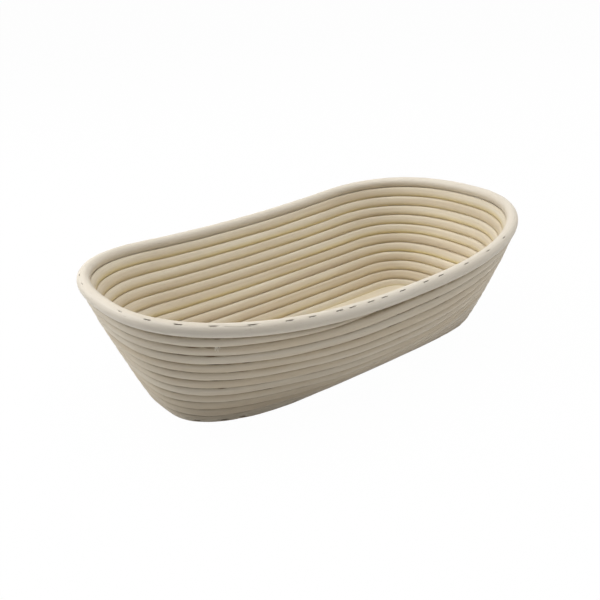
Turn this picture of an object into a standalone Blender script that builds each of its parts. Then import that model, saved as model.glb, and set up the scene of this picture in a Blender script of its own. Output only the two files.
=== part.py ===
"""Oval proofing basket: one cane wound into a flared wall round a flat board, under a stapled rim cane.

The long axis is X and the long sides face -Y (front) and +Y (back). The board's underside is z = 0.
A place on the way round is a share from 0 to 1, counted from the +X end towards the back.
"""

import math

import bmesh
import bpy
import numpy as np
from mathutils import Matrix, Vector

# Rim cane, sizes in metres. Its front side is rounder than its back side.
OVERALL_LENGTH = 0.300
OVERALL_WIDTH = 0.179
RIM_CANE = 0.0077
RIM_HEIGHT = 0.0734
RIM_SADDLE = 0.0086
RIM_STRAIGHT_FRONT = 0.0186
RIM_STRAIGHT_BACK = 0.153
RIM_SQUARENESS_FRONT = 2.38
RIM_SQUARENESS_BACK = 2.30

# Lowest turn of the wall cane, measured along the cane's centre line. Its front right corner is the squarest.
BASE_LENGTH = 0.2329
BASE_WIDTH = 0.0869
BASE_STRAIGHT_FRONT_LEFT = 0.0607
BASE_STRAIGHT_FRONT_RIGHT = 0.0093
BASE_STRAIGHT_BACK = 0.1697
BASE_SQUARENESS_FRONT_LEFT = 2.46
BASE_SQUARENESS_FRONT_RIGHT = 4.02
BASE_SQUARENESS_BACK = 3.20

# Wall cane. Every turn climbs onto the next in one short stretch of the front side.
CANE = 0.0063
TURN_GAP = 0.00055
CLIMB_END = 0.775
CLIMB_SHARE = 0.195
THINNEST_TIP = 0.0027
TIP_GAP = 0.0008

# Swell of the wall's section, slight all round and more along the middle of the front side.
WALL_BULGE = 0.0010
FRONT_BULGE = 0.0072
FRONT_BULGE_SPREAD = 0.0665

# Board that the lowest turn goes round.
BOARD_THICKNESS = 0.0040
BOARD_CLEARANCE = 0.0008
BOARD_EDGE = 0.0004
CANE_OFF_GROUND = 0.0004

# Wire staples. Some of each row are at known shares; the others stand a little off an even spacing.
STAPLE_WIRE = 0.0010
STAPLE_CROWN = 0.0050
STAPLE_LEG = 0.0108
STAPLE_CORNER = 0.0006
STAPLE_SINK = 0.0003
LEG_CLEARANCE = 0.0003
CROWN_CLEARANCE = 0.0004
KNOWN_RIM_STAPLES = [0.3713, 0.4713, 0.5360, 0.5595, 0.5807, 0.6025, 0.6270, 0.6518, 0.6680, 0.6887,
                     0.6993, 0.7150, 0.7273, 0.7445, 0.7670, 0.7815, 0.8103, 0.8397, 0.8688]
RIM_STAPLE_SPACING = 0.0176
RIM_STAPLE_TILT = math.radians(30)
KNOWN_BASE_STAPLES = [0.5680, 0.6020, 0.6235]
OTHER_BASE_STAPLES = 9
STAPLE_WANDER = 0.25
WANDER_ANGLE = math.pi * (3 - math.sqrt(5))

# Scarf joint that closes the rim cane, after the staple of this number.
SCARF_LENGTH = 0.012
SCARF_GAP = 0.0004
SCARF_AFTER_STAPLE = 11

# Points on one loop of cane, closer where it bends or climbs, and on the line that an oval is read from.
LOOP_POINTS = 24
BEND_WEIGHT = 0.35
CLIMB_WEIGHT = 0.14
RIM_POINTS = 72
OVAL_POINTS = 720
HEADING_STEP = 0.004
WELD_DISTANCE = 0.00001
CREASE_ANGLE = math.radians(50)

UP = Vector((0.0, 0.0, 1.0))


def trace_oval(length, width, straights, squareness):
    """Points of a closed oval from the +X end towards the back.

    straights and squareness hold a value for each quarter: back right, back left, front left, front right.
    """
    sweep = np.linspace(0, math.pi / 2, OVAL_POINTS // 4 + 1)
    line = []
    for right, back, straight, power in zip((1, -1, -1, 1), (1, 1, -1, -1), straights, squareness):
        x = straight / 2 + (length - straight) / 2 * np.cos(sweep) ** (2 / power)
        y = width / 2 * np.sin(sweep) ** (2 / power)
        quarter = np.stack([right * x, back * y], 1)
        line.append(quarter[:-1] if right == back else quarter[:0:-1])
    return np.concatenate([*line, line[0][:1]])


def walked_lengths(points):
    """Length of the way round at each point of an oval."""
    steps = np.linalg.norm(np.diff(points, axis=0), axis=1)
    return np.concatenate([[0], np.cumsum(steps)])


RIM_LENGTH = OVERALL_LENGTH - RIM_CANE
RIM_WIDTH = OVERALL_WIDTH - RIM_CANE
RIM_OVAL = trace_oval(RIM_LENGTH, RIM_WIDTH,
                      [RIM_STRAIGHT_BACK] * 2 + [RIM_STRAIGHT_FRONT] * 2,
                      [RIM_SQUARENESS_BACK] * 2 + [RIM_SQUARENESS_FRONT] * 2)
BASE_OVAL = trace_oval(BASE_LENGTH, BASE_WIDTH,
                       [BASE_STRAIGHT_BACK] * 2 + [BASE_STRAIGHT_FRONT_LEFT, BASE_STRAIGHT_FRONT_RIGHT],
                       [BASE_SQUARENESS_BACK] * 2 + [BASE_SQUARENESS_FRONT_LEFT, BASE_SQUARENESS_FRONT_RIGHT])
RIM_ROUND = walked_lengths(RIM_OVAL)[-1]
SHARES = walked_lengths(RIM_OVAL) / RIM_ROUND
BASE_HEIGHT = CANE_OFF_GROUND + CANE / 2
RIM_SEAT = (RIM_CANE + CANE) / 2 + TURN_GAP


def on_oval(oval, share, height):
    """Point of an oval at a share of the way round the rim, so that the two ovals' points face each other."""
    share = share % 1.0
    x = np.interp(share, SHARES, oval[:, 0])
    y = np.interp(share, SHARES, oval[:, 1])
    return Vector((x, y, height))


def outward(oval, share):
    """Level unit vector that points out of an oval."""
    along = on_oval(oval, share + HEADING_STEP, 0) - on_oval(oval, share - HEADING_STEP, 0)
    return along.cross(UP).normalized()


def rim_point(share):
    """Centre line of the rim cane: high at the ends, low along the sides."""
    point = on_oval(RIM_OVAL, share, 0)
    along = point.x / (RIM_LENGTH / 2)
    point.z = RIM_HEIGHT + RIM_SADDLE * (along ** 2 - 0.5)
    return point


def base_point(share):
    """Centre line of the lowest turn."""
    return on_oval(BASE_OVAL, share, BASE_HEIGHT)


def wall_arc(share):
    """Wall's section as an arc from the lowest turn up to the rim: its radius and its angle."""
    rim = rim_point(share)
    bulge = WALL_BULGE
    if rim.y < 0:
        bulge += FRONT_BULGE * math.exp(-(rim.x / FRONT_BULGE_SPREAD) ** 2)
    chord = (rim - base_point(share)).length
    radius = chord ** 2 / (8 * bulge) + bulge / 2
    return radius, 2 * math.asin(chord / (2 * radius))


def wall_height(share):
    """Length of the wall, along its arc, from the lowest turn's centre to the rim cane's centre."""
    radius, angle = wall_arc(share)
    return radius * angle


def wall_point(share, distance):
    """Point of the wall's middle surface, at a distance up from the lowest turn."""
    radius, angle = wall_arc(share)
    reached = angle / 2 - distance / radius
    rise = (rim_point(share) - base_point(share)).normalized()
    out = outward(RIM_OVAL, share)
    out = (out - rise * out.dot(rise)).normalized()
    along = radius * (math.sin(angle / 2) - math.sin(reached))
    bulge = radius * (math.cos(reached) - math.cos(angle / 2))
    return base_point(share) + rise * along + out * bulge


LOWEST_WALL = min(wall_height(step / OVAL_POINTS) for step in range(OVAL_POINTS))
TURNS = 1 + math.floor((LOWEST_WALL - RIM_SEAT) / (CANE + TURN_GAP))


def spacing(share):
    """Distance from one turn to the next, which fills the wall evenly."""
    return (wall_height(share) - RIM_SEAT) / (TURNS - 1)


def climb(progress):
    """How far a turn has climbed onto the next, 0 to 1, at its progress since the last climb's end."""
    ramp = min(max((progress - (1 - CLIMB_SHARE)) / CLIMB_SHARE, 0), 1)
    return ramp * ramp * (3 - 2 * ramp)


def loop_stations():
    """Shares of one loop since the climb's end, closest where the cane bends or climbs."""
    fine = np.linspace(0, 1, OVAL_POINTS + 1)
    bends = np.zeros(OVAL_POINTS)
    for oval in (RIM_OVAL, BASE_OVAL):
        headings = [outward(oval, CLIMB_END + share) for share in fine]
        bends += [first.angle(second) for first, second in zip(headings, headings[1:])]
    bent = np.concatenate([[0], np.cumsum(bends)]) / sum(bends)
    climbed = np.array([climb(share) for share in fine])
    even = (1 - BEND_WEIGHT - CLIMB_WEIGHT) * fine + BEND_WEIGHT * bent + CLIMB_WEIGHT * climbed
    return np.interp(np.arange(LOOP_POINTS) / LOOP_POINTS, even, fine)


def coil_points():
    """Centre points and radii of the whole wall cane, from its thin start to its thin end."""
    stations = loop_stations()
    climbing = [share for share in stations if share > 1 - CLIMB_SHARE]
    found = []
    for progress in climbing:
        share = CLIMB_END + progress
        thick = min(spacing(share) * climb(progress) - TIP_GAP, CANE)
        if thick > THINNEST_TIP:
            found.append((wall_point(share, (thick - CANE) / 2), thick / 2))
    for turn in range(TURNS):
        for progress in stations:
            share = CLIMB_END + progress
            thick = CANE
            distance = spacing(share) * (turn + climb(progress))
            if turn == TURNS - 1:
                thick = min(spacing(share) * (1 - climb(progress)) - TIP_GAP, CANE)
                distance = spacing(share) * turn + (CANE - thick) / 2
            if thick > THINNEST_TIP:
                found.append((wall_point(share, distance), thick / 2))
    return found


def least_self_gap(found):
    """Least clear distance between two turns, measured on points four to each piece of the line."""
    centres = []
    radii = []
    for (first, first_radius), (second, second_radius) in zip(found, found[1:]):
        for part in (0, 0.25, 0.5, 0.75):
            centres.append(first.lerp(second, part))
            radii.append(first_radius + (second_radius - first_radius) * part)
    centres = np.array(centres)
    radii = np.array(radii)
    half_loop = 4 * LOOP_POINTS // 2
    least = math.inf
    for index in range(len(centres) - half_loop):
        others = slice(index + half_loop, None)
        clear = np.linalg.norm(centres[others] - centres[index], axis=1) - radii[others] - radii[index]
        least = min(least, clear.min())
    return least


def new_material(name, colour, roughness, metallic):
    material = bpy.data.materials.new(name)
    material.use_nodes = True
    shader = material.node_tree.nodes["Principled BSDF"]
    shader.inputs["Base Color"].default_value = (*colour, 1.0)
    shader.inputs["Roughness"].default_value = roughness
    shader.inputs["Metallic"].default_value = metallic
    return material


def add_object(name, data, collection, material=None):
    item = bpy.data.objects.new(name, data)
    collection.objects.link(item)
    if material:
        item.data.materials.append(material)
    return item


def new_tube(name, found, closed, sides_resolution):
    """Curve of straight pieces with a round section; found holds points and radii."""
    thickest = max(radius for point, radius in found)
    curve = bpy.data.curves.new(name, "CURVE")
    curve.dimensions = "3D"
    curve.twist_mode = "Z_UP"
    curve.bevel_depth = thickest
    curve.bevel_resolution = sides_resolution
    curve.use_fill_caps = not closed
    spline = curve.splines.new("POLY")
    spline.points.add(len(found) - 1)
    for target, (point, radius) in zip(spline.points, found):
        target.co = (*point, 1.0)
        target.radius = radius / thickest
    spline.use_cyclic_u = closed
    return curve


def curve_to_mesh(curve, name, collection, material):
    """Mesh object made of a curve, with its caps welded on, ready to be cut."""
    helper = add_object(name + "_curve", curve, collection)
    evaluated = helper.evaluated_get(bpy.context.evaluated_depsgraph_get())
    mesh = bpy.data.meshes.new_from_object(evaluated)
    bpy.data.objects.remove(helper)
    shape = bmesh.new()
    shape.from_mesh(mesh)
    bmesh.ops.remove_doubles(shape, verts=shape.verts, dist=WELD_DISTANCE)
    bmesh.ops.recalc_face_normals(shape, faces=shape.faces)
    shape.to_mesh(mesh)
    shape.free()
    mesh.name = name
    mesh.materials.clear()
    mesh.shade_smooth()
    mesh.set_sharp_from_angle(angle=CREASE_ANGLE)
    return add_object(name, mesh, collection, material)


def box_at(shape, size, middle, frame):
    """Adds a box to a bmesh: its size and middle are given in the axes of a frame."""
    box = Matrix.Translation(middle) @ Matrix.Diagonal((*size, 1.0))
    bmesh.ops.create_cube(shape, size=1.0, matrix=frame @ box)


def add_cutter(name, shape, collection):
    mesh = bpy.data.meshes.new(name)
    shape.to_mesh(mesh)
    shape.free()
    cutter = add_object(name, mesh, collection)
    cutter.hide_render = True
    cutter.display_type = "WIRE"
    return cutter


def cut(item, cutter):
    modifier = item.modifiers.new(cutter.name, "BOOLEAN")
    modifier.operation = "DIFFERENCE"
    modifier.object = cutter


def axes_frame(along, drive, origin):
    """Matrix whose X runs along a cane and whose -Z is the way that a staple was driven."""
    back = -drive.normalized()
    side = back.cross(along).normalized()
    along = side.cross(back)
    frame = Matrix((along, side, back)).transposed().to_4x4()
    frame.translation = origin
    return frame


def off_even(number):
    """Number of a staple in an even row, moved by a part of their spacing as a hand would drive it."""
    return number + STAPLE_WANDER * math.sin(number * WANDER_ANGLE)


def rim_staple_shares():
    """Places of the rim's staples: the known ones, and others between them where there is room."""
    shares = []
    for known, following in zip(KNOWN_RIM_STAPLES, KNOWN_RIM_STAPLES[1:] + [KNOWN_RIM_STAPLES[0] + 1]):
        steps = max(round((following - known) * RIM_ROUND / RIM_STAPLE_SPACING), 1)
        step = (following - known) / steps
        shares += [known] + [known + step * off_even(number) for number in range(1, steps)]
    return shares


def base_staple_shares():
    """Places of the lowest turn's staples: the known ones, and others from the climb's end round to them."""
    step = (KNOWN_BASE_STAPLES[0] + 1 - CLIMB_END) / (OTHER_BASE_STAPLES + 0.5)
    others = [CLIMB_END + step * (off_even(number) - 0.5) for number in range(1, OTHER_BASE_STAPLES + 1)]
    return KNOWN_BASE_STAPLES + others


def rim_staple_frame(share):
    """Staple in the rim: its crown on the rim's outer top, driven at the middle of the top turn."""
    out = outward(RIM_OVAL, share)
    tilted = UP * math.cos(RIM_STAPLE_TILT) + out * math.sin(RIM_STAPLE_TILT)
    crown = rim_point(share) + tilted * (RIM_CANE / 2 - STAPLE_SINK - STAPLE_WIRE / 2)
    top_turn = wall_point(share, wall_height(share) - RIM_SEAT)
    return axes_frame(UP.cross(out), top_turn - crown, crown)


def base_staple_frame(share):
    """Staple in the lowest turn: driven level through the cane into the middle of the board's edge."""
    out = outward(BASE_OVAL, share)
    low = BASE_HEIGHT - BOARD_THICKNESS / 2
    surface = math.sqrt((CANE / 2) ** 2 - low ** 2)
    crown = surface - STAPLE_SINK - STAPLE_WIRE / 2
    climbed = spacing(share) * climb((share - CLIMB_END) % 1.0)
    origin = wall_point(share, climbed) - UP * low + out * crown
    return axes_frame(UP.cross(out), -out, origin)


def staple_curve():
    """Bent wire with its crown on X and its legs down -Z."""
    reach = (STAPLE_CROWN - STAPLE_WIRE) / 2
    side = [(reach, -STAPLE_LEG), (reach, -STAPLE_CORNER), (reach - STAPLE_CORNER, 0)]
    line = side + [(-x, z) for x, z in reversed(side)]
    return new_tube("staple", [(Vector((x, 0, z)), STAPLE_WIRE / 2) for x, z in line], False, 1)


def staple_cutters(name, frames, collection):
    """Two cutters for a row of staples: the holes for their legs, and the open slots for their crowns."""
    wide = STAPLE_WIRE + 2 * LEG_CLEARANCE
    reach = (STAPLE_CROWN - STAPLE_WIRE) / 2
    hole_depth = STAPLE_LEG + LEG_CLEARANCE
    slot_floor = STAPLE_WIRE / 2 + CROWN_CLEARANCE
    slot_top = 2 * STAPLE_WIRE
    holes = bmesh.new()
    slots = bmesh.new()
    for frame in frames:
        for side in (-reach, reach):
            box_at(holes, (wide, wide, hole_depth), Vector((side, 0, -hole_depth / 2)), frame)
        slot_wide = STAPLE_WIRE + 2 * CROWN_CLEARANCE
        slot_size = (STAPLE_CROWN + 2 * CROWN_CLEARANCE, slot_wide, slot_top + slot_floor)
        box_at(slots, slot_size, Vector((0, 0, (slot_top - slot_floor) / 2)), frame)
    return (add_cutter(name + "_leg_holes", holes, collection),
            add_cutter(name + "_crown_slots", slots, collection))


def scarf_cutter(share, collection):
    """Thin upright slab, slanted across the rim cane, that parts its two ends."""
    slab = bmesh.new()
    along = UP.cross(outward(RIM_OVAL, share))
    frame = axes_frame(along, -UP, rim_point(share))
    turned = frame @ Matrix.Rotation(math.atan2(RIM_CANE, SCARF_LENGTH), 4, "Z")
    diagonal = math.hypot(RIM_CANE, SCARF_LENGTH) + RIM_CANE
    box_at(slab, (diagonal, SCARF_GAP, 2 * RIM_CANE), Vector((0, 0, 0)), turned)
    return add_cutter("scarf_cut", slab, collection)


def board_mesh():
    """Disc drawn out to the oval that fits inside the lowest turn, standing on z = 0.

    Its corners stand beside the lowest turn's points, so that the two stay parallel.
    """
    disc = bmesh.new()
    stand = Matrix.Translation((0, 0, BOARD_THICKNESS / 2))
    bmesh.ops.create_cone(disc, cap_ends=True, segments=LOOP_POINTS, radius1=1.0, radius2=1.0,
                          depth=BOARD_THICKNESS, matrix=stand)
    inset = CANE / 2 + BOARD_CLEARANCE
    stations = loop_stations()
    for corner in disc.verts:
        angle = math.atan2(corner.co.y, corner.co.x)
        share = CLIMB_END + stations[round(angle / math.tau * LOOP_POINTS) % LOOP_POINTS]
        point = base_point(share) - outward(BASE_OVAL, share) * inset
        corner.co.xy = point.xy
    mesh = bpy.data.meshes.new("base_board")
    disc.to_mesh(mesh)
    disc.free()
    return mesh


def main():
    for item in list(bpy.data.objects):
        bpy.data.objects.remove(item)
    parts = bpy.data.collections.new("proofing_basket")
    cutters = bpy.data.collections.new("cutters")
    bpy.context.scene.collection.children.link(parts)
    bpy.context.scene.collection.children.link(cutters)

    cane = new_material("wall_cane", (0.60, 0.53, 0.41), 0.62, 0.0)
    rim_cane = new_material("rim_cane", (0.66, 0.61, 0.52), 0.55, 0.0)
    wood = new_material("board_wood", (0.63, 0.56, 0.43), 0.60, 0.0)
    steel = new_material("staple_steel", (0.42, 0.41, 0.40), 0.40, 1.0)

    rim_shares = rim_staple_shares()
    rim_frames = [rim_staple_frame(share) for share in rim_shares]
    base_frames = [base_staple_frame(share) for share in base_staple_shares()]
    rim_holes, rim_slots = staple_cutters("rim", rim_frames, cutters)
    base_holes, base_slots = staple_cutters("base", base_frames, cutters)
    scarf_share = (rim_shares[SCARF_AFTER_STAPLE - 1] + rim_shares[SCARF_AFTER_STAPLE]) / 2
    scarf = scarf_cutter(scarf_share, cutters)

    found = coil_points()
    print("wall turns", TURNS, "least gap between turns, mm", round(least_self_gap(found) * 1000, 3))
    wall = curve_to_mesh(new_tube("wall_coil", found, False, 1), "wall_coil", parts, cane)
    for cutter in (rim_holes, base_holes, base_slots):
        cut(wall, cutter)

    rim_line = [(rim_point(index / RIM_POINTS), RIM_CANE / 2) for index in range(RIM_POINTS)]
    rim = curve_to_mesh(new_tube("rim_cane", rim_line, True, 3), "rim_cane", parts, rim_cane)
    for cutter in (scarf, rim_holes, rim_slots):
        cut(rim, cutter)

    board = add_object("base_board", board_mesh(), parts, wood)
    eased = board.modifiers.new("eased_edges", "BEVEL")
    eased.width = BOARD_EDGE
    eased.segments = 1
    eased.limit_method = "ANGLE"
    eased.angle_limit = CREASE_ANGLE
    cut(board, base_holes)

    wire = staple_curve()
    wire.materials.append(steel)
    for row, frames in (("rim_staple", rim_frames), ("base_staple", base_frames)):
        for number, frame in enumerate(frames, 1):
            staple = add_object(f"{row}_{number:02d}", wire, parts)
            staple.matrix_world = frame


main()
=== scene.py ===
import math

import bmesh
import bpy
import numpy as np
from mathutils import Matrix, Vector


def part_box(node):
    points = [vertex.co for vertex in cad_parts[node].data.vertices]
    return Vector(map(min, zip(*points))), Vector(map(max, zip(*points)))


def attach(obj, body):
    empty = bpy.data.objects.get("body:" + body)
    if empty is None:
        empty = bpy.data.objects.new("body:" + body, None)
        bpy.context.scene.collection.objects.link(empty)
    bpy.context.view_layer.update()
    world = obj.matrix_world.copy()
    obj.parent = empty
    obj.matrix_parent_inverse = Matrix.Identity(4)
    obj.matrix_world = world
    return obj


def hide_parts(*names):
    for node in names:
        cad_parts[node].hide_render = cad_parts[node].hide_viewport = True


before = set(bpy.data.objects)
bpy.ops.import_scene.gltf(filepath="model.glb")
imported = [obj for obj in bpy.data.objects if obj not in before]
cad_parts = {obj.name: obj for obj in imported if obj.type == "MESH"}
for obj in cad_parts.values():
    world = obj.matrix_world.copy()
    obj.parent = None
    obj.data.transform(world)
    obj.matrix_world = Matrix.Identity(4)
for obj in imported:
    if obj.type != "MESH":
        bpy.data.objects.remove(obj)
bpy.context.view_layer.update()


# Floor board. One flat oval board of pale, close-grained wood, planed on both faces and eased along
# its edges. The lowest turn of cane goes round it and is stapled to its edge.
BASE_LENGTH = 0.2329
BASE_WIDTH = 0.0869
BASE_STRAIGHTS = (0.1697, 0.1697, 0.0607, 0.0093)
BASE_SQUARENESS = (3.20, 3.20, 2.46, 4.02)
CANE_HALF = 0.00315
BOARD_EDGE = 0.0005
BOARD_POINTS = 240
BOARD_CREASE = math.radians(40)
BOARD_PALE = (0.655, 0.595, 0.47)
BOARD_TAN = (0.58, 0.50, 0.365)
BOARD_FIBRE = (0.55, 0.45, 0.30)
BOARD_PORE = (0.36, 0.27, 0.16)


def trace_oval(length, width, straights, squareness, count=1440):
    """Closed oval from the +X end. Values go by quarter: back right, back left, front left, front right."""
    sweep = np.linspace(0, math.pi / 2, count // 4 + 1)
    line = []
    for right, back, straight, power in zip((1, -1, -1, 1), (1, 1, -1, -1), straights, squareness):
        x = straight / 2 + (length - straight) / 2 * np.cos(sweep) ** (2 / power)
        y = width / 2 * np.sin(sweep) ** (2 / power)
        quarter = np.stack([right * x, back * y], 1)
        line.append(quarter[:-1] if right == back else quarter[:0:-1])
    return np.concatenate([*line, line[0][:1]])


def walked(points):
    """Length walked along a line at each of its points."""
    steps = np.linalg.norm(np.diff(points, axis=0), axis=1)
    return np.concatenate([[0], np.cumsum(steps)])


def read_line(line, marks, places):
    """Points of a line at given marks along it."""
    return np.stack([np.interp(places, marks, line[:, axis]) for axis in range(line.shape[1])], -1)


def sideways(line, marks, places, step=0.004):
    """Level unit vectors that point out of a closed line, whose marks run from 0 to 1."""
    along = read_line(line, marks, (places + step) % 1) - read_line(line, marks, (places - step) % 1)
    out = np.stack([along[..., 1], -along[..., 0]], -1)
    return out / np.linalg.norm(out, axis=-1, keepdims=True)


def add_piece(name, mesh, material):
    piece = bpy.data.objects.new(name, mesh)
    bpy.context.scene.collection.objects.link(piece)
    mesh.materials.append(material)
    mesh.shade_smooth()
    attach(piece, "root")
    return piece


def new_material(name):
    """New material, and its Principled shader."""
    material = bpy.data.materials.new(name)
    material.use_nodes = True
    return material, material.node_tree.nodes["Principled BSDF"]


def node(tree, kind, inputs=(), **settings):
    """New node with its settings; an input is a value, or the output socket that feeds it."""
    made = tree.nodes.new(kind)
    for name, value in settings.items():
        setattr(made, name, value)
    for name, value in dict(inputs).items():
        if isinstance(value, bpy.types.NodeSocket):
            tree.links.new(value, made.inputs[name])
        else:
            made.inputs[name].default_value = value
    return made


def stretched_noise(tree, vector, stretch, detail, roughness):
    """Noise whose grain is drawn out: stretch holds how many patches fit in a metre on each axis."""
    scaled = node(tree, "ShaderNodeVectorMath", {0: vector, 1: stretch}, operation="MULTIPLY")
    noise = node(tree, "ShaderNodeTexNoise", {"Vector": scaled.outputs[0], "Scale": 1.0,
                                              "Detail": detail, "Roughness": roughness})
    return noise.outputs["Fac"]


def spread(tree, value, low, high, to_low=0.0, to_high=1.0):
    """Value stretched from low and high to a new range, and kept inside it."""
    ranged = node(tree, "ShaderNodeMapRange", {"Value": value, "From Min": low, "From Max": high,
                                               "To Min": to_low, "To Max": to_high})
    return ranged.outputs["Result"]


def blend_colour(tree, amount, first, second):
    """Mix of two colours. A colour mix has its amount in socket 0 and its colours in 6 and 7."""
    mixed = node(tree, "ShaderNodeMix", data_type="RGBA")
    for socket, value in ((mixed.inputs[0], amount), (mixed.inputs[6], first), (mixed.inputs[7], second)):
        if isinstance(value, bpy.types.NodeSocket):
            tree.links.new(value, socket)
        elif isinstance(value, tuple):
            socket.default_value = (*value, 1.0)
        else:
            socket.default_value = value
    return mixed.outputs[2]


def relief(tree, height, distance, strength):
    bump = node(tree, "ShaderNodeBump", {"Height": height, "Distance": distance, "Strength": strength})
    return bump.outputs["Normal"]


board_low, board_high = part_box("base_board")
base_oval = trace_oval(BASE_LENGTH, BASE_WIDTH, BASE_STRAIGHTS, BASE_SQUARENESS)
base_marks = walked(base_oval) / walked(base_oval)[-1]
round_the_board = np.linspace(0, 1, BOARD_POINTS, endpoint=False)
board_outline = read_line(base_oval, base_marks, round_the_board)
board_outline -= sideways(base_oval, base_marks, round_the_board) * CANE_HALF
board_shape = bmesh.new()
board_points = [board_shape.verts.new((x, y, board_high.z)) for x, y in board_outline]
board_face = board_shape.faces.new(board_points)
board_sides = bmesh.ops.extrude_face_region(board_shape, geom=[board_face])
board_lower = [item for item in board_sides["geom"] if isinstance(item, bmesh.types.BMVert)]
bmesh.ops.translate(board_shape, verts=board_lower, vec=(0, 0, board_low.z - board_high.z))
bmesh.ops.recalc_face_normals(board_shape, faces=board_shape.faces)
board_rims = [edge for edge in board_shape.edges if abs(edge.verts[0].co.z - edge.verts[1].co.z) < 1e-6]
bmesh.ops.bevel(board_shape, geom=board_rims, offset=BOARD_EDGE, segments=2, affect="EDGES", profile=0.5)
board_mesh = bpy.data.meshes.new("floor_board")
board_shape.to_mesh(board_mesh)
board_shape.free()

board_wood, board_shader = new_material("planed_board")
board_tree = board_wood.node_tree
board_place = node(board_tree, "ShaderNodeTexCoord").outputs["Object"]
board_bands = stretched_noise(board_tree, board_place, (5.0, 95.0, 60.0), 3.0, 0.6)
board_fibres = stretched_noise(board_tree, board_place, (60.0, 2600.0, 2600.0), 3.0, 0.6)
board_pores = stretched_noise(board_tree, board_place, (260.0, 3400.0, 3400.0), 1.0, 0.4)
board_colour = blend_colour(board_tree, spread(board_tree, board_bands, 0.35, 0.68), BOARD_PALE, BOARD_TAN)
board_colour = blend_colour(board_tree, spread(board_tree, board_fibres, 0.35, 0.75, 0.0, 0.35),
                            board_colour, BOARD_FIBRE)
board_colour = blend_colour(board_tree, spread(board_tree, board_pores, 0.70, 0.78, 0.0, 0.30),
                            board_colour, BOARD_PORE)
board_tree.links.new(board_colour, board_shader.inputs["Base Color"])
board_tree.links.new(spread(board_tree, board_fibres, 0.3, 0.7, 0.52, 0.68), board_shader.inputs["Roughness"])
board_tree.links.new(relief(board_tree, board_fibres, 0.00012, 0.5), board_shader.inputs["Normal"])
board_shader.inputs["Specular IOR Level"].default_value = 0.35
board = add_piece("floor_board", board_mesh, board_wood)
board_mesh.set_sharp_from_angle(angle=BOARD_CREASE)
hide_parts("base_board")


# Wall cane. One long peeled cane, wound in eleven turns from the board to the rim. Each turn lies on
# the one below, climbs onto the next in one stretch of the front side, and both ends are pared thin.
# Inside, each turn's upper side is painted paler, as lit and dusted, and its lower side yellow, as warm
# shade.
OVERALL_LENGTH = 0.300
OVERALL_WIDTH = 0.179
RIM_CANE = 0.0077
RIM_HEIGHT = 0.0734
RIM_SADDLE = 0.0086
RIM_STRAIGHTS = (0.153, 0.153, 0.0186, 0.0186)
RIM_SQUARENESS = (2.30, 2.30, 2.38, 2.38)
TURNS = 11
WALL_BULGE = 0.0010
FRONT_BULGE = 0.0072
FRONT_BULGE_SPREAD = 0.0665
CLIMB_END = 0.775
CLIMB_SHARE = 0.195
CANE_OFF_GROUND = 0.0004
CANE_THROUGH = 0.0033
WORN_FLAT = 0.00005
PARED_TIP = 0.0003
PARED_EDGE = 0.05
UNDER_RIM_GAP = 0.00045
UNDER_RIM_PRESS = 0.0001
PRESSED_FLAT = 1.06
PRESSED_MOST = 0.997
ROUND_INSIDE = 3.0
FLAT_OUTSIDE = 2.45
WAVER_UP = 0.00007
WAVER_OUT = 0.00010
WAVER_OUT_PACE = 1.31
STEPS_A_TURN = 192
STEPS_IN_START = 24
# Short places where a groove gapes: the turn above it, the share of the way round, the half length.
OPEN_GROOVES = ((10, 0.5870, 0.005), (10, 0.5985, 0.003), (9, 0.599, 0.005), (5, 0.604, 0.004))
GROOVE_GAPE = 0.10
STAPLE_WIRE = 0.0010
STAPLE_CROWN = 0.0050
STAPLE_LEG = 0.0108
SLOT_DEEP = 0.0010
BASE_SLOT_WIDE = 0.0010
BASE_SLOT_LIP = 0.00018
BASE_SLOT_RINGS = np.linspace(-0.006, 0.006, 19)
LIP_PLACE = 1.75
LIP_SPREAD = 0.55
LIP_TEARS = 9.0
LIP_UNEVEN = 0.25
CANE_CREASE = math.radians(70)
CANE_PALE = (0.62, 0.56, 0.46)
CANE_TAN = (0.535, 0.45, 0.33)
CANE_INSIDE_LIT_AND_DUSTED = (0.67, 0.61, 0.49)
CANE_INSIDE_BOUNCE_SHADE = (0.69, 0.585, 0.31)
CANE_STREAK = (0.46, 0.37, 0.24)
CANE_BROWN = (0.23, 0.16, 0.09)
GAP_SHADE_COLOUR = (0.045, 0.03, 0.018)
UP = Vector((0, 0, 1))

# The wall is set out between the board's oval and the rim's. A share is a place on the way round, from
# 0 at the +X end by the back to 1, and is counted along the rim.
rim_oval = trace_oval(OVERALL_LENGTH - RIM_CANE, OVERALL_WIDTH - RIM_CANE, RIM_STRAIGHTS, RIM_SQUARENESS)
rim_round = walked(rim_oval)[-1]
marks = walked(rim_oval) / rim_round


def rim_line(shares):
    """Centre line of the rim: high at the ends and low along the sides."""
    flat = read_line(rim_oval, marks, shares % 1)
    along = flat[..., 0] / ((OVERALL_LENGTH - RIM_CANE) / 2)
    return np.concatenate([flat, (RIM_HEIGHT + RIM_SADDLE * (along ** 2 - 0.5))[..., None]], -1)


def base_line(shares):
    flat = read_line(base_oval, marks, shares % 1)
    return np.concatenate([flat, np.full(flat.shape[:-1] + (1,), CANE_OFF_GROUND + CANE_HALF)], -1)


def level_out(shares):
    out = sideways(rim_oval, marks, shares)
    return np.concatenate([out, np.zeros(out.shape[:-1] + (1,))], -1)


def unit(vectors):
    return vectors / np.linalg.norm(vectors, axis=-1, keepdims=True)


def wall_arc(shares):
    """Wall's bowed section at each share: its radius and its angle."""
    rim = rim_line(shares)
    chord = np.linalg.norm(rim - base_line(shares), axis=-1)
    swell = FRONT_BULGE * np.exp(-(rim[..., 0] / FRONT_BULGE_SPREAD) ** 2)
    bulge = WALL_BULGE + np.where(rim[..., 1] < 0, swell, 0)
    radius = chord ** 2 / (8 * bulge) + bulge / 2
    return radius, 2 * np.arcsin(chord / (2 * radius))


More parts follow.
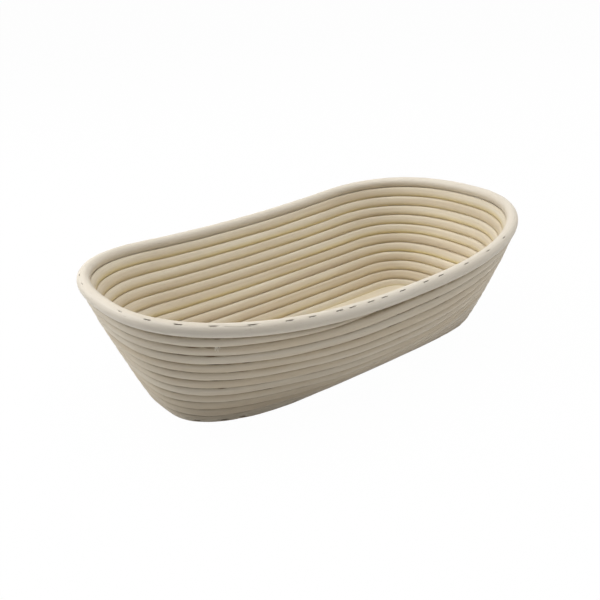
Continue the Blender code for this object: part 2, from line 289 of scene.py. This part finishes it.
def wall_place(shares, heights):
    """Points at heights up the wall, with the wall's own up and out directions there."""
    radius, angle = wall_arc(shares)
    reached = angle / 2 - heights / radius
    chord_up = unit(rim_line(shares) - base_line(shares))
    bow = level_out(shares)
    bow = unit(bow - chord_up * np.sum(bow * chord_up, -1, keepdims=True))
    climbed = radius * (np.sin(angle / 2) - np.sin(reached))
    bowed = radius * (np.cos(reached) - np.cos(angle / 2))
    points = base_line(shares) + chord_up * climbed[..., None] + bow * bowed[..., None]
    up = chord_up * np.cos(reached)[..., None] + bow * np.sin(reached)[..., None]
    out = bow * np.cos(reached)[..., None] - chord_up * np.sin(reached)[..., None]
    return points, up, out


def smooth(value, low, high):
    ramp = np.clip((value - low) / (high - low), 0, 1)
    return ramp * ramp * (3 - 2 * ramp)


def waver(places, size):
    """Slow uneven waver of a hand-wound cane, the same on every run."""
    waves = ((3.7, 0.4, 1.0), (7.9, 1.9, 0.7), (13.3, 4.1, 0.5), (29.0, 2.6, 0.3))
    return size * sum(share * np.sin(math.tau * often * places + start) for often, start, share in waves)


def press_slots(points, places, opened, wide, deep, lip):
    """Presses each staple's slot into points as far as it is open, and raises torn lips beside it."""
    slit = np.zeros(points.shape[:-1])
    torn = np.zeros(points.shape[:-1])
    for number, (place, open_share) in enumerate(zip(places, opened)):
        along, across, back = (np.array(place.col[axis].xyz) for axis in range(3))
        offset = points - np.array(place.translation)
        near = np.linalg.norm(offset, axis=-1) < STAPLE_CROWN
        # Both distances are counted in halves of the slot's own length and width.
        far_along = np.abs(offset @ along) / (STAPLE_CROWN / 2)
        far_across = np.abs(offset @ across) / (wide / 2)
        cut = smooth(far_along, 0.98, 0.6) * smooth(far_across, 1.35, 0.55) * near
        edge = np.exp(-((far_across - LIP_PLACE) / LIP_SPREAD) ** 2) * smooth(far_along, 1.35, 0.75) * near
        tears = np.sin(LIP_TEARS * (offset @ along) / STAPLE_CROWN * math.tau + number)
        edge *= 1 - LIP_UNEVEN + LIP_UNEVEN * tears
        points += back * (lip * edge - deep * cut)[..., None] * open_share
        slit = np.maximum(slit, cut * open_share)
        torn = np.maximum(torn, edge * open_share)
    return slit, torn


def swept_mesh(name, grid):
    """Closed tube through a grid of points: a row for each step along, a column for each place round it."""
    rows, columns = grid.shape[:2]
    index = np.arange(rows * columns).reshape(rows, columns)
    after = np.roll(index, -1, axis=1)
    quads = np.stack([index[:-1], after[:-1], after[1:], index[1:]], -1).reshape(-1, 4)
    faces = quads.tolist() + [index[0][::-1].tolist(), index[-1].tolist()]
    mesh = bpy.data.meshes.new(name)
    mesh.from_pydata(grid.reshape(-1, 3).tolist(), [], faces)
    shape = bmesh.new()
    shape.from_mesh(mesh)
    bmesh.ops.recalc_face_normals(shape, faces=shape.faces)
    shape.to_mesh(mesh)
    shape.free()
    return mesh


def mark_points(mesh, name, values):
    """Keeps a value or a vector at each point of a mesh, for its material to read."""
    kind, key = ("FLOAT_VECTOR", "vector") if values.ndim == 3 else ("FLOAT", "value")
    mesh.attributes.new(name, kind, "POINT").data.foreach_set(key, values.astype(np.float32).ravel())


def staple_frame(along, drive, crown):
    """Matrix with X along the crown and -Z the way that the staple was driven."""
    back = -Vector(drive).normalized()
    side = back.cross(Vector(along)).normalized()
    matrix = Matrix((side.cross(back), side, back)).transposed().to_4x4()
    matrix.translation = crown
    return matrix


def nearest_share(line, point):
    """Share of the way round at which a closed line passes nearest to a point."""
    tried = np.linspace(0, 1, 20001)
    away = np.linalg.norm(read_line(line, marks, tried) - np.array(point.xy), axis=1)
    return tried[np.argmin(away)]


base_staples = {}
fine = []
for name in sorted(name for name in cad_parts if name.startswith("base_staple")):
    low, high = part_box(name)
    middle = (low + high) / 2
    share = nearest_share(base_oval, middle)
    out = Vector((*sideways(base_oval, marks, share), 0))
    crown = middle + out * (STAPLE_LEG - STAPLE_WIRE / 2) / 2
    base_staples[name] = staple_frame(UP.cross(out), -out, crown)
    fine.append((share - CLIMB_END) % 1 + BASE_SLOT_RINGS)

# Wound counts the turns from the end of the first climb. The pared start lies below zero. Rings stand
# closer together at the staples' slots and at the open grooves.
even = np.arange(STEPS_A_TURN) / STEPS_A_TURN
first_turn = np.unique(np.concatenate([even, *fine]) % 1)
stations = [np.linspace(-CLIMB_SHARE, 0, STEPS_IN_START + 1)[:-1], first_turn]
stations += [turn + even for turn in range(1, TURNS)] + [np.array([TURNS])]
for above, share, half_long in OPEN_GROOVES:
    along_gape = (share - CLIMB_END) % 1 + half_long * np.linspace(-2.4, 2.4, 15)
    stations += [above - 1 + along_gape, above + along_gape]
wound = np.unique(np.concatenate(stations).round(6))
turn, progress = np.divmod(wound, 1)
shares = CLIMB_END + progress
climbed = smooth(progress, 1 - CLIMB_SHARE, 1)
radius, angle = wall_arc(shares)
wall_top = radius * angle - RIM_CANE / 2 + UNDER_RIM_PRESS
turn_height = (wall_top + CANE_HALF) / TURNS
lower = np.maximum(turn_height * (turn + climbed), 0) - CANE_HALF + waver(wound, WAVER_UP)
upper = np.minimum(turn_height * (turn + climbed + 1) - CANE_HALF, wall_top) + waver(wound + 1, WAVER_UP)
kept = upper - lower > PARED_TIP
wound, turn, climbed, shares, lower, upper, turn_height = (
    line[kept] for line in (wound, turn, climbed, shares, lower, upper, turn_height))
centres, up, out = wall_place(shares, (lower + upper) / 2)
thinned = np.minimum((upper - lower) / turn_height, 1)
centres += out * waver(wound * WAVER_OUT_PACE, WAVER_OUT)[:, None]
# Round the cane, points stand closer together on the outer side, where the staples' slots lie.
section = np.radians(np.concatenate([np.linspace(-28, 36, 13), np.linspace(46, 322, 25)]))
power = np.where(np.cos(section) > 0, FLAT_OUTSIDE, ROUND_INSIDE)
section_up = np.sign(np.sin(section)) * np.abs(np.sin(section)) ** (2 / power)
section_out = np.sign(np.cos(section)) * np.abs(np.cos(section)) ** (2 / power)
section_up = np.clip(PRESSED_FLAT * section_up, -PRESSED_MOST, PRESSED_MOST)
cane_up = (upper - lower)[:, None] / 2 * section_up
under_rim = smooth(turn + climbed, TURNS - 1.15, TURNS - 1)[:, None] * smooth(section_out, 0.05, 0.55)
cane_up -= UNDER_RIM_GAP * under_rim * (section_up > 0)
gaping = np.zeros(cane_up.shape)
for above, share, half_long in OPEN_GROOVES:
    beside = turn[:, None] == np.where(section_up > 0, above - 1, above)
    along_gape = np.exp(-((shares % 1 - share) / half_long) ** 2)[:, None]
    gape = along_gape * smooth(np.abs(section_up), 0.75, 0.95) * (section_out > 0)
    gaping = np.maximum(gaping, gape * beside)
cane_up *= 1 - GROOVE_GAPE * gaping
pared_back = np.where(wound < 0, 1.0, np.maximum(smooth(thinned, 0.05, 0.5), PARED_EDGE))[:, None]
cane_out = CANE_THROUGH * section_out * (thinned ** 0.2)[:, None]
cane_out *= np.where(section_out > 0, pared_back, 1.0)
wall_grid = centres[:, None] + up[:, None] * cane_up[..., None] + out[:, None] * cane_out[..., None]
wall_grid[..., 2] = np.maximum(wall_grid[..., 2], WORN_FLAT)
cane_along = np.repeat(walked(centres)[:, None], len(section), 1)
all_open = np.ones(len(base_staples))
slit, _ = press_slots(wall_grid, base_staples.values(), all_open, BASE_SLOT_WIDE, SLOT_DEEP, BASE_SLOT_LIP)
slit = np.maximum(slit, gaping)
wall_mesh = swept_mesh("wall_cane", wall_grid)
mark_points(wall_mesh, "grain", np.stack([cane_along, cane_up, cane_out], -1))
mark_points(wall_mesh, "seam", np.repeat(np.abs(section_up)[None], len(wound), 0))
mark_points(wall_mesh, "slit", slit)

# Fibre look shared by the canes: fine streaks that run along the cane, slow patches of colour, and
# the short dark flecks of its open pores.
cane_fibre = bpy.data.node_groups.new("cane_fibre", "ShaderNodeTree")
cane_fibre.interface.new_socket("Grain", in_out="INPUT", socket_type="NodeSocketVector")
for name in ("Streaks", "Patches", "Flecks"):
    cane_fibre.interface.new_socket(name, in_out="OUTPUT", socket_type="NodeSocketFloat")
fibre_in = cane_fibre.nodes.new("NodeGroupInput").outputs["Grain"]
fibre_out = cane_fibre.nodes.new("NodeGroupOutput")
streaks = stretched_noise(cane_fibre, fibre_in, (45.0, 2600.0, 2600.0), 3.0, 0.6)
patches = stretched_noise(cane_fibre, fibre_in, (7.0, 140.0, 140.0), 3.0, 0.55)
flecks = stretched_noise(cane_fibre, fibre_in, (210.0, 2100.0, 2100.0), 1.0, 0.4)
cane_fibre.links.new(spread(cane_fibre, streaks, 0.3, 0.7), fibre_out.inputs["Streaks"])
cane_fibre.links.new(spread(cane_fibre, patches, 0.34, 0.68), fibre_out.inputs["Patches"])
cane_fibre.links.new(spread(cane_fibre, flecks, 0.70, 0.80), fibre_out.inputs["Flecks"])


def read_mark(tree, name, output="Fac"):
    return node(tree, "ShaderNodeAttribute", attribute_name=name).outputs[output]


def times(tree, first, second):
    return node(tree, "ShaderNodeMath", {0: first, 1: second}, operation="MULTIPLY").outputs[0]


wall_look, wall_shader = new_material("peeled_cane")
wall_tree = wall_look.node_tree
wall_grain = read_mark(wall_tree, "grain", "Vector")
wall_fibre = node(wall_tree, "ShaderNodeGroup", node_tree=cane_fibre)
wall_tree.links.new(wall_grain, wall_fibre.inputs["Grain"])
wall_places = node(wall_tree, "ShaderNodeSeparateXYZ", {0: wall_grain}).outputs
wall_inside = spread(wall_tree, wall_places["Z"], CANE_THROUGH / 2, -CANE_THROUGH / 2)
wall_shaded_underside = spread(wall_tree, wall_places["Y"], 0.1 * CANE_HALF, -0.85 * CANE_HALF)
wall_outside = spread(wall_tree, wall_inside, 0.0, 1.0, 1.0, 0.08)
# Painted light and shade inside: each turn's upper side paler, as lit and dusted; its lower side yellow, as
# warm shade.
wall_inside_light_and_shade = blend_colour(wall_tree, wall_shaded_underside, CANE_INSIDE_LIT_AND_DUSTED, CANE_INSIDE_BOUNCE_SHADE)
wall_pale = blend_colour(wall_tree, wall_inside, CANE_PALE, wall_inside_light_and_shade)
wall_colour = blend_colour(wall_tree, wall_fibre.outputs["Patches"], wall_pale, CANE_TAN)
wall_colour = blend_colour(wall_tree, spread(wall_tree, wall_fibre.outputs["Streaks"], 0.0, 1.0, 0.22, 0.0),
                           wall_colour, CANE_STREAK)
wall_colour = blend_colour(wall_tree, spread(wall_tree, wall_fibre.outputs["Flecks"], 0.0, 1.0, 0.0, 0.35),
                           wall_colour, CANE_BROWN)
# Outside, the grooves are darkened in broken spots: painted shade in the grooves, partly dirt.
groove_spots = stretched_noise(wall_tree, wall_grain, (130.0, 160.0, 160.0), 2.0, 0.6)
groove_edge = spread(wall_tree, read_mark(wall_tree, "seam"), 0.80, 1.0)
groove_dirt_and_shade = times(wall_tree, groove_edge, spread(wall_tree, groove_spots, 0.38, 0.70, 0.15, 0.8))
groove_dirt_and_shade = times(wall_tree, groove_dirt_and_shade, wall_outside)
wall_colour = blend_colour(wall_tree, groove_dirt_and_shade, wall_colour, CANE_BROWN)
# Near-black flecks at the very bottom of the outside grooves: painted shade of small open gaps.
groove_gap_shade = stretched_noise(wall_tree, wall_grain, (75.0, 90.0, 90.0), 1.0, 0.5)
groove_bottom = spread(wall_tree, read_mark(wall_tree, "seam"), 0.86, 0.97)
groove_gap_shade = times(wall_tree, spread(wall_tree, groove_gap_shade, 0.62, 0.70), groove_bottom)
groove_gap_shade = times(wall_tree, groove_gap_shade, wall_outside)
wall_colour = blend_colour(wall_tree, groove_gap_shade, wall_colour, GAP_SHADE_COLOUR)
# Painted shade in the staples' slots at the base and in the gaping grooves: the cane is darkened where they
# open.
wall_colour = blend_colour(wall_tree, spread(wall_tree, read_mark(wall_tree, "slit"), 0.2, 0.9, 0.0, 0.85),
                           wall_colour, CANE_BROWN)
wall_tree.links.new(wall_colour, wall_shader.inputs["Base Color"])
wall_tree.links.new(spread(wall_tree, wall_fibre.outputs["Streaks"], 0.0, 1.0, 0.66, 0.52),
                    wall_shader.inputs["Roughness"])
wall_tree.links.new(relief(wall_tree, wall_fibre.outputs["Streaks"], 0.00010, 0.5),
                    wall_shader.inputs["Normal"])
wall_shader.inputs["Specular IOR Level"].default_value = 0.35
wall = add_piece("wall_cane", wall_mesh, wall_look)
wall_mesh.set_sharp_from_angle(angle=CANE_CREASE)
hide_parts("wall_coil")


# Frayed fibres. A small tuft of the cane's own pale fibres, torn up across the groove under the top turn
# on the front left, where the cane was nicked as it was wound.
TORN_SHARE = 0.6037
FIBRE_LENGTHS = (0.0030, 0.0034, 0.0026, 0.0037, 0.0031, 0.0023, 0.0028)
FIBRE_PALE = (0.84, 0.81, 0.73)
FIBRE_THICK = 0.00034
FIBRE_TAPER = 0.7
FIBRE_ABOVE = 0.0015
FIBRE_BRIDGE = 0.85
FIBRE_LIFT = 0.0006
FIBRE_PITCH = 0.00035
FIBRE_STRAY = 0.0006

tuft_row = np.argmin(np.abs(wound - (TURNS - 2 + (TORN_SHARE - CLIMB_END) % 1)))
tuft_up, tuft_out = up[tuft_row], out[tuft_row]
tuft_along = np.array(UP.cross(Vector(tuft_out)).normalized())
tuft_half = (upper - lower)[tuft_row] / 2
tuft_shape = bmesh.new()
for number, length in enumerate(FIBRE_LENGTHS):
    reached = np.linspace(0, 1, 9)
    rise = tuft_half + FIBRE_ABOVE * (1 - 0.3 * (number % 2)) - length * reached
    to_groove = (1 - np.abs(rise - tuft_half) / tuft_half) / PRESSED_FLAT
    skin = CANE_THROUGH * (1 - to_groove ** FLAT_OUTSIDE) ** (1 / FLAT_OUTSIDE)
    lift = FIBRE_LIFT * (0.3 + 0.7 * (number % 3) / 2) * reached ** 2
    stand = np.maximum(skin, FIBRE_BRIDGE * CANE_THROUGH) + lift
    curl = reached * math.sin(2.3 * number) + 0.4 * np.sin(5 * reached + number)
    astray = FIBRE_PITCH * (number - len(FIBRE_LENGTHS) // 2) + FIBRE_STRAY * curl
    fibre_line = centres[tuft_row] + np.outer(astray, tuft_along)
    fibre_line += np.outer(rise, tuft_up) + np.outer(stand, tuft_out)
    ring = np.radians(np.arange(6) * 60)
    thick = (FIBRE_THICK / 2 * (1 - FIBRE_TAPER * reached))[:, None, None]
    round_it = np.outer(np.cos(ring), tuft_along) + np.outer(np.sin(ring), tuft_out)
    fibre_grid = fibre_line[:, None] + thick * round_it
    tuft_shape.from_mesh(swept_mesh("fibre", fibre_grid))
tuft_mesh = bpy.data.meshes.new("frayed_fibres")
tuft_shape.to_mesh(tuft_mesh)
tuft_shape.free()

fibre_look, fibre_shader = new_material("torn_fibre")
fibre_tree = fibre_look.node_tree
fibre_place = node(fibre_tree, "ShaderNodeTexCoord").outputs["Object"]
fibre_tone = stretched_noise(fibre_tree, fibre_place, (900.0, 900.0, 400.0), 3.0, 0.6)
fibre_colour = blend_colour(fibre_tree, spread(fibre_tree, fibre_tone, 0.35, 0.65), FIBRE_PALE, CANE_PALE)
fibre_tree.links.new(fibre_colour, fibre_shader.inputs["Base Color"])
fibre_tree.links.new(spread(fibre_tree, fibre_tone, 0.3, 0.7, 0.6, 0.75), fibre_shader.inputs["Roughness"])
fibre_tree.links.new(relief(fibre_tree, fibre_tone, 0.00003, 0.4), fibre_shader.inputs["Normal"])
add_piece("frayed_fibres", tuft_mesh, fibre_look)


# Rim cane. A thicker, smoother peeled cane bent once round the mouth and stapled down into the top turn.
# Its two ends are cut to lap in a scarf joint on the front left: the seam crosses the outer side, runs
# along the rim and crosses the inner side.
SCARF_AFTER_STAPLE = 11
SCARF_LONG = 0.012
SCARF_SHIFT = 0.0025
SCARF_GAP = 0.00005
SCARF_REACH = 0.026
SCARF_SUNK = 0.00012
SCARF_STAIN = 0.50
CROWN_TILT = math.radians(30)
CROWN_SUNK = 0.0003
CROWN_OUT = RIM_CANE / 2 - CROWN_SUNK - STAPLE_WIRE / 2
RIM_SEAT = 0.00755
RIM_STEPS = 320
RIM_SLOT_WIDE = 0.00058
RIM_SLOT_LIP = 0.00014
RIM_SLOT_RINGS = np.linspace(-0.0046, 0.0046, 17)
# How far the slot of a staple is open, by its number. The slots of all others are fully open.
CLOSED_OVER = {5: 0.35, 6: 0.1, 7: 0.1, 8: 0.35, 11: 0.55, 22: 0.6, 23: 0.4, 24: 0.45,
               25: 0.2, 26: 0.2, 27: 0.2}
RIM_PALE = (0.64, 0.59, 0.51)
RIM_TAN = (0.59, 0.53, 0.435)
RIM_STREAK = (0.52, 0.44, 0.31)
TORN_PALE = (0.80, 0.76, 0.67)
SLOT_DARK = (0.13, 0.09, 0.055)

rim_staples = {}
rim_staple_shares = {}
for name in sorted(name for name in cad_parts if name.startswith("rim_staple")):
    low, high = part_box(name)
    middle = (low + high) / 2
    share = nearest_share(rim_oval, middle)
    out = Vector(level_out(share))
    crown = Vector(rim_line(share)) + CROWN_OUT * (math.sin(CROWN_TILT) * out + math.cos(CROWN_TILT) * UP)
    radius, angle = wall_arc(share)
    top_turn = Vector(wall_place(share, radius * angle - RIM_SEAT)[0])
    rim_staples[name] = staple_frame(UP.cross(out), top_turn - crown, crown)
    rim_staple_shares[name] = share
scarf_share = (rim_staple_shares[f"rim_staple_{SCARF_AFTER_STAPLE:02d}"]
               + rim_staple_shares[f"rim_staple_{SCARF_AFTER_STAPLE + 1:02d}"]) / 2
even = np.linspace(0, 1, RIM_STEPS)
fine = [(share - scarf_share) % 1 + RIM_SLOT_RINGS for share in rim_staple_shares.values()]
near_scarf = np.array([0.0003, 0.0008, 0.0015, 0.0023])
rim_progress = np.unique(np.clip(np.concatenate([even, near_scarf, 1 - near_scarf, *fine]), 0, 1))
rim_along = rim_progress * rim_round
rim_section = np.radians(np.concatenate([np.linspace(44, 76, 19), np.linspace(88, 392, 23)]))
section_out = RIM_CANE / 2 * np.cos(rim_section)
section_up = RIM_CANE / 2 * np.sin(rim_section)
from_scarf = np.minimum(rim_along, rim_round - rim_along)
outer_half = 1 - smooth(rim_section, math.radians(46), math.radians(58))
outer_half += smooth(rim_section, math.radians(250), math.radians(290))
aslant = (SCARF_SHIFT + SCARF_LONG * (outer_half - 0.5)) * smooth(from_scarf, SCARF_REACH, 0)[:, None]
aslant += SCARF_GAP / 2 * ((rim_along == 0) * 1.0 - (rim_along == rim_round) * 1.0)[:, None]
rim_shares = scarf_share + rim_progress[:, None] + aslant / rim_round
rim_outward = level_out(rim_shares) * np.cos(rim_section)[:, None] + np.outer(np.sin(rim_section), UP)
seam_side = (rim_section > math.radians(45)) & (rim_section < math.radians(60))
seam = smooth(from_scarf, 0.0019, 0.0004)[:, None] * seam_side
rim_grid = rim_line(rim_shares) + rim_outward * (RIM_CANE / 2 - SCARF_SUNK * seam)[..., None]
opened = [CLOSED_OVER.get(number, 1.0) for number in range(1, len(rim_staples) + 1)]
slit, torn = press_slots(rim_grid, rim_staples.values(), opened, RIM_SLOT_WIDE, SLOT_DEEP, RIM_SLOT_LIP)
slit = np.maximum(slit, SCARF_STAIN * seam)
rim_mesh = swept_mesh("rim_cane_bent", rim_grid)
rim_places = np.broadcast_to(rim_along[:, None] + aslant, rim_grid.shape[:2])
mark_points(rim_mesh, "grain", np.stack([rim_places, np.broadcast_to(section_up, rim_places.shape),
                                         np.broadcast_to(section_out, rim_places.shape)], -1))
mark_points(rim_mesh, "slit", slit)
mark_points(rim_mesh, "torn", torn)

rim_look, rim_shader = new_material("smooth_cane")
rim_tree = rim_look.node_tree
rim_fibre = node(rim_tree, "ShaderNodeGroup", node_tree=cane_fibre)
rim_tree.links.new(read_mark(rim_tree, "grain", "Vector"), rim_fibre.inputs["Grain"])
rim_colour = blend_colour(rim_tree, rim_fibre.outputs["Patches"], RIM_PALE, RIM_TAN)
rim_colour = blend_colour(rim_tree, spread(rim_tree, rim_fibre.outputs["Streaks"], 0.0, 1.0, 0.16, 0.0),
                          rim_colour, RIM_STREAK)
rim_colour = blend_colour(rim_tree, spread(rim_tree, rim_fibre.outputs["Flecks"], 0.0, 1.0, 0.0, 0.25),
                          rim_colour, CANE_BROWN)
rim_colour = blend_colour(rim_tree, spread(rim_tree, read_mark(rim_tree, "torn"), 0.2, 0.9, 0.0, 0.8),
                          rim_colour, TORN_PALE)
# Painted shade in the rim staples' slots, darker the more open the slot; the scarf seam is darkened with it.
rim_colour = blend_colour(rim_tree, spread(rim_tree, read_mark(rim_tree, "slit"), 0.2, 0.9, 0.0, 0.92),
                          rim_colour, SLOT_DARK)
rim_tree.links.new(rim_colour, rim_shader.inputs["Base Color"])
rim_tree.links.new(spread(rim_tree, rim_fibre.outputs["Streaks"], 0.0, 1.0, 0.58, 0.44),
                   rim_shader.inputs["Roughness"])
rim_tree.links.new(relief(rim_tree, rim_fibre.outputs["Streaks"], 0.00008, 0.5), rim_shader.inputs["Normal"])
rim_shader.inputs["Specular IOR Level"].default_value = 0.4
rim = add_piece("rim_cane_bent", rim_mesh, rim_look)
rim_mesh.set_sharp_from_angle(angle=CANE_CREASE)
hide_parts("rim_cane")


# Staples. Bent steel wire, driven by hand: one row down through the rim into the top turn, and one
# row level through the lowest turn into the board's edge. Their crowns lie sunk in the cane.
STAPLE_CORNER = 0.0009
WIRE_SIDES = 10
STEEL_LIGHT = (0.17, 0.145, 0.12)
STEEL_DARK = (0.06, 0.046, 0.036)

reach = (STAPLE_CROWN - STAPLE_WIRE) / 2
bend = np.radians(np.linspace(0, 90, 6))
half_wire = [(reach, -STAPLE_LEG)]
half_wire += [(reach - STAPLE_CORNER * (1 - math.cos(turned)), STAPLE_CORNER * (math.sin(turned) - 1))
              for turned in bend]
wire_line = np.array(half_wire + [(-x, z) for x, z in reversed(half_wire)])
wire_heading = unit(np.gradient(wire_line, axis=0))
wire_side = np.stack([-wire_heading[:, 1], wire_heading[:, 0]], -1)
wire_round = math.tau / WIRE_SIDES * np.arange(WIRE_SIDES)
wire_grid = np.zeros((len(wire_line), WIRE_SIDES, 3))
wire_grid[..., 0] = wire_line[:, :1] + wire_side[:, :1] * np.cos(wire_round) * STAPLE_WIRE / 2
wire_grid[..., 2] = wire_line[:, 1:] + wire_side[:, 1:] * np.cos(wire_round) * STAPLE_WIRE / 2
wire_grid[..., 1] = np.sin(wire_round) * STAPLE_WIRE / 2

steel, steel_shader = new_material("staple_wire")
steel_tree = steel.node_tree
steel_place = node(steel_tree, "ShaderNodeTexCoord").outputs["Object"]
steel_wear = stretched_noise(steel_tree, steel_place, (700.0, 700.0, 700.0), 3.0, 0.6)
steel_draw = stretched_noise(steel_tree, steel_place, (300.0, 9000.0, 9000.0), 2.0, 0.5)
steel_colour = blend_colour(steel_tree, spread(steel_tree, steel_wear, 0.35, 0.65), STEEL_DARK, STEEL_LIGHT)
steel_tree.links.new(steel_colour, steel_shader.inputs["Base Color"])
steel_tree.links.new(spread(steel_tree, steel_wear, 0.3, 0.7, 0.55, 0.35), steel_shader.inputs["Roughness"])
steel_tree.links.new(relief(steel_tree, steel_draw, 0.00003, 0.4), steel_shader.inputs["Normal"])
steel_shader.inputs["Metallic"].default_value = 1.0
for name, place in (rim_staples | base_staples).items():
    staple = add_piece("wire_" + name, swept_mesh("wire_" + name, wire_grid), steel)
    staple.matrix_world = place
    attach(staple, "root")
    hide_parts(name)


# Studio. A plain white paper floor that keeps the basket's soft shadow, white all round it, one wide soft
# lamp overhead and three smaller ones at the sides, and a camera where the basket is seen from.
FLOOR_SIDE = 12.0
FLOOR_DROP = 0.0002
PAPER_TONE = (0.80, 0.80, 0.80, 1.0)
WHITE = (1.0, 1.0, 1.0, 1.0)
PAPER_GLOW = 0.985
WORLD_LIGHT = 0.02
BASKET_MIDDLE = Vector((0.0, 0.0, 0.03))
# Name, place, side in metres and power in watts of each lamp.
LAMPS = (("overhead", (0.0, 0.0, 1.3), 1.2, 16.0), ("behind_left", (-0.8, 0.8, 0.8), 0.9, 13.0),
         ("right", (1.1, 0.0, 0.7), 0.9, 2.5), ("front_right", (0.6, -1.0, 0.25), 0.8, 3.6))
CAMERA_PLACE = (-0.30269, -0.38193, 0.25183)
CAMERA_ROUND = -36.894
CAMERA_ABOVE = 23.856
CAMERA_ROLL = -3.078
CAMERA_LENS = 48.804
CAMERA_SENSOR = 36.0

floor_shape = bmesh.new()
bmesh.ops.create_grid(floor_shape, x_segments=1, y_segments=1, size=FLOOR_SIDE / 2)
floor_mesh = bpy.data.meshes.new("studio_floor")
floor_shape.to_mesh(floor_mesh)
floor_shape.free()
floor = bpy.data.objects.new("studio_floor", floor_mesh)
bpy.context.scene.collection.objects.link(floor)
floor.location.z = -FLOOR_DROP
paper, paper_shader = new_material("studio_paper")
paper_tree = paper.node_tree
paper_shader.inputs["Base Color"].default_value = PAPER_TONE
paper_shader.inputs["Roughness"].default_value = 1.0
paper_shader.inputs["Specular IOR Level"].default_value = 0.0
paper_white = node(paper_tree, "ShaderNodeEmission", {"Color": WHITE, "Strength": 1.0})


def paper_white_seen(tree):
    """1 for what the camera sees, straight or in a reflection, and 0 for the light that falls on things."""
    rays = node(tree, "ShaderNodeLightPath")
    seen = rays.outputs["Is Camera Ray"]
    for kind in ("Is Glossy Ray", "Is Transmission Ray"):
        either = node(tree, "ShaderNodeMath", {0: seen, 1: rays.outputs[kind]}, operation="MAXIMUM")
        seen = either.outputs[0]
    return seen


paper_share = times(paper_tree, paper_white_seen(paper_tree), PAPER_GLOW)
paper_mix = node(paper_tree, "ShaderNodeMixShader", {0: paper_share})
paper_tree.links.new(paper_shader.outputs[0], paper_mix.inputs[1])
paper_tree.links.new(paper_white.outputs[0], paper_mix.inputs[2])
paper_tree.links.new(paper_mix.outputs[0], paper_tree.nodes["Material Output"].inputs["Surface"])
floor_mesh.materials.append(paper)

world = bpy.data.worlds.new("studio")
bpy.context.scene.world = world
world.use_nodes = True
world_light = world.node_tree.nodes["Background"]
world_light.inputs["Color"].default_value = WHITE
world_seen = paper_white_seen(world.node_tree)
world.node_tree.links.new(spread(world.node_tree, world_seen, 0.0, 1.0, WORLD_LIGHT, 1.0),
                          world_light.inputs["Strength"])

for name, place, side, power in LAMPS:
    lamp = bpy.data.lights.new(name, "AREA")
    lamp.shape = "SQUARE"
    lamp.size = side
    lamp.energy = power
    light = bpy.data.objects.new(name, lamp)
    bpy.context.scene.collection.objects.link(light)
    light.location = place
    light.rotation_euler = (BASKET_MIDDLE - Vector(place)).to_track_quat("-Z", "Y").to_euler()

camera_data = bpy.data.cameras.new("photo_view")
camera_data.sensor_width = CAMERA_SENSOR
camera_data.lens = CAMERA_LENS
camera_data.clip_start = 0.01
camera = bpy.data.objects.new("photo_view", camera_data)
bpy.context.scene.collection.objects.link(camera)
camera.matrix_world = (Matrix.Translation(CAMERA_PLACE)
                       @ Matrix.Rotation(math.radians(CAMERA_ROUND), 4, "Z")
                       @ Matrix.Rotation(math.radians(90 - CAMERA_ABOVE), 4, "X")
                       @ Matrix.Rotation(math.radians(CAMERA_ROLL), 4, "Z"))
bpy.context.scene.camera = camera
bpy.context.scene.view_settings.view_transform = "Standard"
